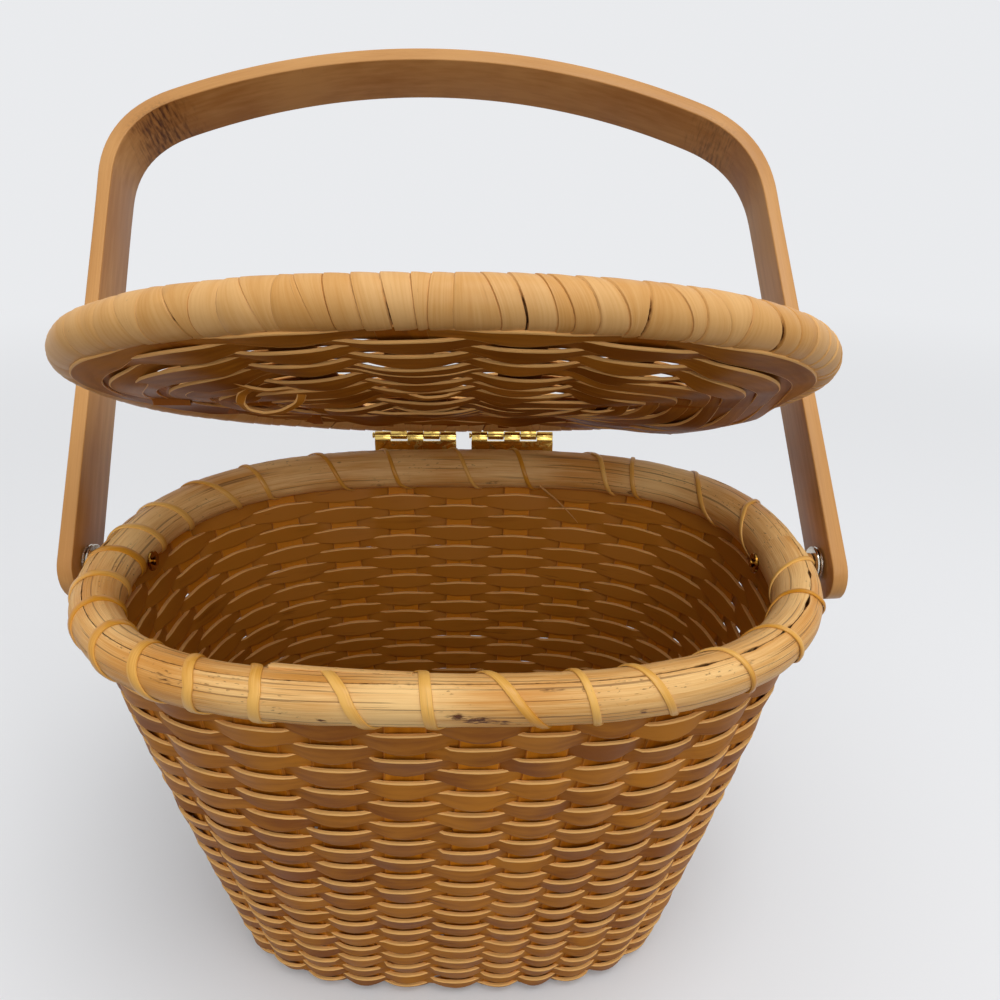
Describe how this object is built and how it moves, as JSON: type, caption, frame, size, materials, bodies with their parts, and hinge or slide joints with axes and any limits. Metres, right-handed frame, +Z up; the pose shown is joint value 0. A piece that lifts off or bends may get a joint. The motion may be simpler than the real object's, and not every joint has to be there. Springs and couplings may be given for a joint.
{
  "type": "lidded basket",
  "caption": "Oval tapered splint basket with lashed double rim, brass-hinged woven lid with wrapped edge, and a flat bent swing handle on bolted pivots.",
  "frame": {"origin": "on the floor, in the middle of the base panel's flat underside", "axes": "+Z up, -Y towards the front of the basket, +Y towards the hinges, X through the two handle pivots"},
  "size_m": [0.3153, 0.28, 0.3611],
  "materials": {
    "weave": "aged brown splint, satin",
    "stake": "aged brown splint, satin",
    "rim": "golden tan half-round rattan with grain, satin",
    "cane": "yellow cane, glossy",
    "handle": "smooth bent wood, satin",
    "wrap": "smooth flat splint, satin",
    "brass": "polished",
    "steel": "worn"
  },
  "bodies": {
    "basket": {"base_panel": "weave", "outer_weave": "weave", "inner_weave": "weave", "long_stake_1": "stake", "long_stake_2": "stake", "long_stake_3": "stake", "long_stake_4": "stake", "long_stake_5": "stake", "cross_stake_1": "stake", "cross_stake_2": "stake", "cross_stake_3": "stake", "cross_stake_4": "stake", "cross_stake_5": "stake", "cross_stake_6": "stake", "cross_stake_7": "stake", "cross_stake_8": "stake", "cross_stake_9": "stake", "outer_rim_hoop": "rim", "inner_rim_hoop": "rim", "rim_lashing": "cane", "right_pivot_bolt": "brass", "right_pivot_spacer": "handle", "right_pivot_inner_washer": "steel", "right_pivot_outer_washer": "steel", "right_pivot_burr": "brass", "left_pivot_bolt": "brass", "left_pivot_spacer": "handle", "left_pivot_inner_washer": "steel", "left_pivot_outer_washer": "steel", "left_pivot_burr": "brass", "left_hinge_rim_leaf": "brass", "left_hinge_pin": "brass", "left_hinge_rim_nail_a": "brass", "left_hinge_rim_nail_b": "brass", "right_hinge_rim_leaf": "brass", "right_hinge_pin": "brass", "right_hinge_rim_nail_a": "brass", "right_hinge_rim_nail_b": "brass"},
    "handle": {"handle_bar": "handle"},
    "lid": {"lid_rim_wrap": "wrap", "lid_rim_core": "rim", "lid_top_weave": "weave", "lid_under_weave": "weave", "lid_stake_1": "stake", "lid_stake_2": "stake", "lid_stake_3": "stake", "lid_stake_4": "stake", "lid_stake_5": "stake", "lid_stake_6": "stake", "lid_stake_7": "stake", "left_hinge_lid_leaf": "brass", "left_hinge_lid_nail_a": "brass", "left_hinge_lid_nail_b": "brass", "right_hinge_lid_leaf": "brass", "right_hinge_lid_nail_a": "brass", "right_hinge_lid_nail_b": "brass"}
  },
  "joints": [
    {"name": "lid_hinge", "type": "hinge", "parent": "basket", "child": "lid", "pos_m": [0, 0.0996, 0.1832], "axis": [-1, 0, 0], "range_deg": [-27.8, 60]},
    {"name": "handle_swing", "type": "hinge", "parent": "basket", "child": "handle", "pos_m": [0, 0, 0.1664], "axis": [-1, 0, 0], "range_deg": [-143, 57]}
  ]
}
